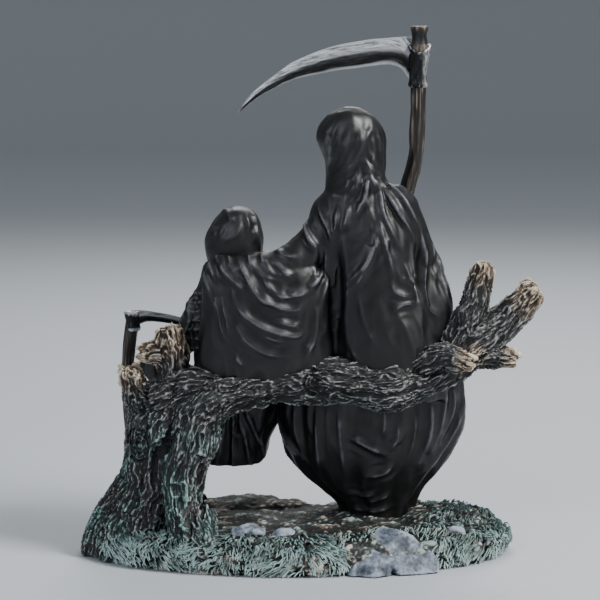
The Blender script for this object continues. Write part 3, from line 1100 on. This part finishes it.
# Antique pewter: dull grey metal, scratched along its length, nearly black on the faces and bright on bevels
# and worn edges.
pewter, tree, shader = paint("antique pewter", 0.45, 0.6)
crest = add(tree, "Attribute", {"attribute_name": "crest"}, {}, "Fac")
bevel = add(tree, "Attribute", {"attribute_name": "bevel"}, {}, "Fac")
grain = add(tree, "Attribute", {"attribute_name": "grain"}, {}, "Vector")
scratch = add(tree, "TexNoise", {}, {"Vector": grain, "Scale": 1.1, "Detail": 6.0, "Roughness": 0.65},
              "Fac")
bright = add(tree, "ValToRGB",
             {"stops": [(0.34, "#3d3f40"), (0.46, "#8d8f90"), (0.56, "#c2c3c4"), (0.68, "#e4e4e4")]},
             {"Fac": scratch})
dark = add(tree, "ValToRGB",
           {"stops": [(0.40, "#0b0b0c"), (0.55, "#1d1e1f"), (0.70, "#494b4c")]}, {"Fac": scratch})
tint = add(tree, "Mix", {"data_type": "RGBA"}, {"Factor": bevel, 6: dark, 7: bright}, 2)
proud = add(tree, "MapRange", {}, {"Value": crest, "From Min": 0.72, "From Max": 1.0})
tint = add(tree, "Mix", {"data_type": "RGBA"}, {"Factor": proud, 6: tint, 7: "#b9bbbc"}, 2)
rub = add(tree, "MapRange", {}, {"Value": scratch, "From Min": 0.3, "From Max": 0.7, "To Min": 0.58,
                                 "To Max": 0.36})
bump = add(tree, "Bump", {}, {"Height": scratch, "Strength": 0.7, "Distance": 0.3 * MM})
feed(shader, {"Base Color": tint, "Roughness": rub, "Normal": bump})
METAL_SMOOTH = 28.0
for piece in (edge, head):
    complete(piece, pewter, "reaper_scythe", METAL_SMOOTH)


# Small scythe
# The child's, moulded the same way: a short shaft through the child's left fist, a plain cap and a hooked
# blade that points back over the child's lap.

SMALL_TOP = 110.0
small_path = [(-84.0, 23.0, SMALL_TOP - 2.0), (-85.8, 23.0, SMALL_TOP - 16.0),
              (-87.0, 23.5, SMALL_TOP - 30.0), (-86.0, 25.0, 58.0), (-83.5, 27.0, 34.0), (-83.0, 27.5, 8.6)]
pole = tube("small_scythe_shaft", shaft_rows(small_path, 6.2), 40, 16, wood_grain(0.36, 4.0))
find_crests(pole, rounds=8, reach=0.2)
complete(pole, stained, "child_scythe")
x, y = small_path[0][:2]
cap = turned("small_scythe_cap", below((x, y, SMALL_TOP), [
    (0, 9.8, 3.0, 3.0), (0, 9.2, 3.6, 3.5), (0, 7.8, 3.6, 3.5), (0, 7.2, 3.2, 3.2), (-0.3, 4.0, 3.3, 3.3),
    (-0.6, 1.4, 3.7, 3.6), (-0.8, 0.3, 3.6, 3.5), (-0.8, 0.1, 2.8, 2.8), (-0.8, 0.9, 1.0, 1.0)]))
settle(cap, "SUBSURF", levels=1, render_levels=1)
roughen(cap, size=1.5, height=0.22, stretch=(1.0, 1.0, 2.0), seed=3.0)
find_crests(cap, rounds=6, reach=0.16)
mark(cap, "bevel", np.clip((read(cap, "co")[:, 2] / MM - SMALL_TOP + 1.6) / 1.2, 0.0, 0.8))
mark(cap, "grain", read(cap, "co") / MM / (1.0, 1.0, 4.0))
outline = [(-0.06, 0.93, 0.12), (0.06, 0.92, 0.34), (0.18, 0.86, 0.42), (0.45, 0.66, 0.28), (0.7, 0.38, 0.06),
           (0.88, 0.08, -0.12), (1.0, -0.26, -0.32)]
edge = blade("small_scythe_blade", (x + 1.5, y, SMALL_TOP - 10.0), length=-38.0, rise=11.0, rows=outline,
             away=8.0, thickness=2.4)
find_crests(edge, rounds=6, reach=0.25)
for piece in (edge, cap):
    complete(piece, pewter, "child_scythe", METAL_SMOOTH)


# Hands and feet
# Bare bones cast with the robes: the adult's right fist and the child's left fist closed round their shafts,
# the adult's left hand over the child's shoulder, and toes below the hems.

def point_at(path, height):
    """The point of a falling path at a height."""
    table = smooth_rows(path, 12)
    order = np.argsort(table[:, 2])
    return (float(np.interp(height, table[order, 2], table[order, 0])),
            float(np.interp(height, table[order, 2], table[order, 1])), height)


def finger(points, bone_radius):
    """Finger bones end to end, thicker at each joint."""
    rows = []
    for k in range(len(points) - 1):
        a, b = np.array(points[k], float), np.array(points[k + 1], float)
        for share, girth in ((0.0, 1.04), (0.25, 0.80), (0.7, 0.76)):
            rows.append((*(a + (b - a) * share), bone_radius * girth))
    rows.append((*points[-1], 0.85 * bone_radius))
    return tube("finger", rows, 12, 2, rounded=True)


def fist(path, height, thickness, wrist, bone_radius):
    """Four curled fingers and a thumb round a shaft, and the bones of the back of the hand."""
    middle = point_at(path, height)
    grip = thickness / 2 + 0.8 * bone_radius
    start = math.atan2(wrist[1] - middle[1], wrist[0] - middle[0])
    pieces = []
    for k in range(4):
        z = height + (1.5 - k) * 2.3 * bone_radius
        spot = point_at(path, z)
        points = []
        for share in np.linspace(0.0, 1.0, 4):
            a = start + 0.45 + share * (4.3 - 0.12 * k) + 0.16 * (k % 2)
            points.append((spot[0] + grip * math.cos(a), spot[1] + grip * math.sin(a),
                           z - bone_radius * share))
        pieces.append(finger([tuple(p) for p in smooth_rows(points, 3)[::2]], bone_radius))
        spread = (1.5 - k) * 1.1 * bone_radius
        pieces.append(finger([points[0], (wrist[0], wrist[1], wrist[2] + spread)], 0.95 * bone_radius))
    thumb = [(middle[0] + grip * math.cos(start - q), middle[1] + grip * math.sin(start - q),
              height + bone_radius * (0.5 + 1.5 * q)) for q in (0.1, 0.9, 1.7)]
    pieces.append(finger(thumb, 1.05 * bone_radius))
    pieces.append(ball("wrist", wrist, (1.9 * bone_radius, 1.9 * bone_radius, 2.4 * bone_radius)))
    return pieces


bones = fist(shaft_path, GRIP, 6.8, (47.0, 20.0, SEAT + 47.0), 1.55)
bones += fist(small_path, SEAT - 6.0, 6.2, (-77.0, 18.0, SEAT), 1.2)
hand_at = (ADULT_AT[0] - 67.0, 3.5, SEAT + 49.0)
for k in range(4):
    across, shorter = 2.9 * k - 4.4, abs(k - 2)
    points = []
    for reach, up in ((0.0, 0.6), (4.6, 1.4), (9.4, -0.6), (12.2, -4.6),
                      (12.8 - 0.4 * shorter, -9.0 + 0.8 * shorter)):
        points.append((hand_at[0] + across * 0.95 - reach * 0.14, hand_at[1] - across * 0.14 + reach * 0.95,
                       hand_at[2] + up - 0.25 * abs(across)))
    bones.append(finger(points, 1.3))
bones.append(ball("palm", hand_at, (5.2, 4.4, 2.4)))
FEET = [((ADULT_AT[0] - 3, 32.0, SEAT - 71.0), 1.0, 8), ((ADULT_AT[0] + 16, 32.0, SEAT - 71.0), 1.0, -14),
        ((CHILD_AT[0] - 8, 27.0, SEAT - 50.5), 0.75, 6), ((CHILD_AT[0] + 8, 27.0, SEAT - 50.5), 0.75, -6)]
for at, scale, turn in FEET:
    a = math.radians(turn)
    for k in range(5):
        across, reach = 2.4 * (k - 2), 10.0 - 0.7 * abs(k - 1.4)
        points = []
        for share, up in ((0.0, 2.5), (0.45, 2.6), (0.75, 1.2), (1.0, 0.2)):
            x, y = across, reach * share
            points.append((at[0] + scale * (x * math.cos(a) - y * math.sin(a)),
                           at[1] + scale * (x * math.sin(a) + y * math.cos(a)), at[2] + scale * up))
        bones.append(finger(points, 1.15 * scale))
    ankle = [(at[0], at[1] - 6 * scale, at[2] + 6 * scale, 3.2 * scale),
             (at[0], at[1] + 1 * scale, at[2] + 2.6 * scale, 3.6 * scale)]
    bones.append(tube("ankle", ankle, 16, 3, rounded=True))
bones = merge("hands_and_feet", bones)
grow_together(bones, grain=0.55, rounds=1)
find_crests(bones, rounds=12, reach=0.3)
complete(bones, bone)


# Grass
# Short curved strands moulded all round the rim and in tufts on top, hanging outwards over the edge. Painted
# dark and dry-brushed pale aqua towards the tips.

chance = random.Random(4)
points, faces, shares = [], [], []
table = np.array([(z, share) for z, share in RIM])
clear = [(at[0], at[1], size[0] * 0.95, size[1] * 0.95) for at, size in PEBBLES[:3]]
clear += [(41, -36, 15.5, 11), (25, -43, 11, 7)]
STRANDS = 5600
IN_RIM = 0.55
STRAND_LENGTH = (4.2, 7.6)


def strand(root, out, length, lean, lift, droop):
    """One strand: a tapered three-sided blade that rises, bends outwards and sideways, and droops."""
    side = Vector((-out.y, out.x, 0.0))
    first = len(points)
    bends = 6
    for k in range(bends):
        t = k / (bends - 1)
        at = (root + out * (length * 0.36 * math.sin(2.0 * t)) + side * (length * lean * t ** 1.7)
              + Vector((0, 0, 1)) * length * (lift * t - droop * t ** 2.6))
        width = 0.62 - 0.38 * t
        for a in (0.0, 2.1, 4.2):
            p = at + side * (width * math.cos(a)) + Vector((0, 0, 1)) * (width * 0.8 * math.sin(a))
            points.append((p.x * MM, p.y * MM, max(0.3, p.z) * MM))
            shares.append(t)
    for k in range(bends - 1):
        for i in range(3):
            a, b = first + 3 * k + i, first + 3 * k + (i + 1) % 3
            faces.append((a, b, b + 3, a + 3))
    faces.append((first + 2, first + 1, first))
    last = first + 3 * (bends - 1)
    faces.append((last, last + 1, last + 2))


planted = 0
while planted < STRANDS:
    t = chance.uniform(0, 2 * math.pi)
    if chance.random() < IN_RIM:
        z = chance.uniform(0.8, 12.5)
        share = float(np.interp(z, table[:, 0], table[:, 1])) * lobes(t)
        x = BASE_OFFSET_X + (BASE_LENGTH / 2 * share - 2.6) * math.cos(t)
        y = (BASE_DEPTH / 2 * share - 2.6) * math.sin(t)
        lift = chance.uniform(0.35, 0.95)
    else:
        share = (0.94 - 0.34 * chance.random() ** 1.5) * lobes(t)
        x = BASE_OFFSET_X + BASE_LENGTH / 2 * share * math.cos(t)
        y = BASE_DEPTH / 2 * share * math.sin(t)
        found, hit, _, _ = ground.ray_cast((x * MM, y * MM, 0.06), (0, 0, -1))
        z = hit[2] / MM - 0.4 if found else 12.0
        lift = chance.uniform(0.6, 1.0)
    if any(((x - cx) / cw) ** 2 + ((y - cy) / ch) ** 2 < 1.0 for cx, cy, cw, ch in clear):
        continue
    if y > 12 and -50 < x < 25 and z > 9.5:
        continue
    tuft = math.sin(5 * t + 0.21 * z) + math.sin(17 * t + 1.3) + chance.uniform(-1.0, 1.0)
    out = Vector((math.cos(t) / 2, math.sin(t), 0.0)).normalized()
    strand(Vector((x, y, z)), out, chance.uniform(*STRAND_LENGTH), 0.42 * tuft, lift,
           lift + chance.uniform(-0.1, 0.35))
    planted += 1
mesh = bpy.data.meshes.new("grass")
mesh.from_pydata(points, [], faces)
grass = into_scene("grass", mesh)
mark(grass, "along", shares)

# Grass paint: near-black roots, dry-brushed pale aqua-grey towards the tips, duller in patches.
turf, tree, shader = paint("painted grass", 0.6)
where = add(tree, "TexCoord", {}, {}, "Object")
along = add(tree, "Attribute", {"attribute_name": "along"}, {}, "Fac")
fresh = add(tree, "ValToRGB",
            {"stops": [(0.04, "#040606"), (0.22, "#1a2624"), (0.5, "#6e8a84"), (0.9, "#c6dbd5")]},
            {"Fac": along})
old = add(tree, "ValToRGB",
          {"stops": [(0.05, "#030404"), (0.3, "#131a18"), (0.65, "#495c57"), (1.0, "#a3b4ae")]},
          {"Fac": along})
patch = add(tree, "TexNoise", {}, {"Vector": where, "Scale": 1 / (7 * MM), "Detail": 3.0}, "Fac")
patch = add(tree, "MapRange", {}, {"Value": patch, "From Min": 0.42, "From Max": 0.62})
tint = add(tree, "Mix", {"data_type": "RGBA"}, {"Factor": patch, 6: fresh, 7: old}, 2)
feed(shader, {"Base Color": tint})
complete(grass, turf)


# Studio
# A plain pale floor, a large soft light at the upper right as in the photograph, weaker ones elsewhere, and
# the camera a metre behind the figures, a little above their middle.

bpy.ops.object.select_all(action="DESELECT")
FLOOR_RADIUS, BOWL, STEP = 3.0, 1.6, 12
bpy.ops.mesh.primitive_circle_add(vertices=96, radius=FLOOR_RADIUS, fill_type="NOTHING")
floor = bpy.context.object
floor.name = "floor"
bpy.ops.object.mode_set(mode="EDIT")
radius = FLOOR_RADIUS
for turn in range(STEP, 85, STEP):
    a = math.radians(turn)
    wider = FLOOR_RADIUS + BOWL * math.sin(a)
    bpy.ops.mesh.extrude_region_move(TRANSFORM_OT_translate={
        "value": (0, 0, BOWL * (math.cos(a - math.radians(STEP)) - math.cos(a)))})
    bpy.ops.transform.resize(value=(wider / radius, wider / radius, 1.0), center_override=(0, 0, 0))
    radius = wider
bpy.ops.mesh.select_all(action="DESELECT")
bpy.ops.object.mode_set(mode="OBJECT")
for v in floor.data.vertices:
    v.select = v.co.z < 0.001
bpy.ops.object.mode_set(mode="EDIT")
bpy.ops.mesh.edge_face_add()
bpy.ops.mesh.select_all(action="SELECT")
bpy.ops.mesh.normals_make_consistent(inside=True)
bpy.ops.object.mode_set(mode="OBJECT")
bpy.ops.object.shade_smooth_by_angle(angle=math.radians(40))
plain, tree, shader = paint("pale floor", 0.8)
shader.inputs["Base Color"].default_value = linear("#b9bdc0")
floor.data.materials.append(plain)


def lamp(name, at, target, size, power, colour="#ffffff"):
    """A square soft light, its places and size in metres and its power in watts."""
    light = bpy.data.lights.new(name, "AREA")
    light.size = size
    light.energy = power
    light.color = linear(colour)[:3]
    made = into_scene(name, light)
    made.location = at
    made.rotation_euler = (Vector(target) - Vector(at)).to_track_quat("-Z", "Y").to_euler()


lamp("key", (0.80, -0.40, 0.95), (0, 0, 0.12), 0.40, 22.0)
lamp("fill", (-0.7, -0.9, 0.75), (0, 0, 0.1), 0.6, 6.0, "#e8f0ff")
lamp("back", (0.1, 0.9, 0.9), (0, 0, 0.12), 0.6, 8.0)
world = bpy.data.worlds.new("studio")
bpy.context.scene.world = world
world.use_nodes = True
world.node_tree.nodes["Background"].inputs["Color"].default_value = linear("#c3cad2")
world.node_tree.nodes["Background"].inputs["Strength"].default_value = 0.45

PHOTO_WIDTH, PIXELS_AT_A_METRE = 600, 2178
lens = bpy.data.cameras.new("camera")
lens.sensor_width = 36.0
lens.lens = lens.sensor_width * PIXELS_AT_A_METRE / PHOTO_WIDTH
lens.clip_start = 0.01
camera = into_scene("camera", lens)
tilt = math.radians(7.5)
aim = Vector((-0.0055, 0.0, 0.118))
camera.location = aim + Vector((0.0, -math.cos(tilt), math.sin(tilt)))
camera.rotation_euler = (aim - camera.location).to_track_quat("-Z", "Y").to_euler()
bpy.context.scene.camera = camera
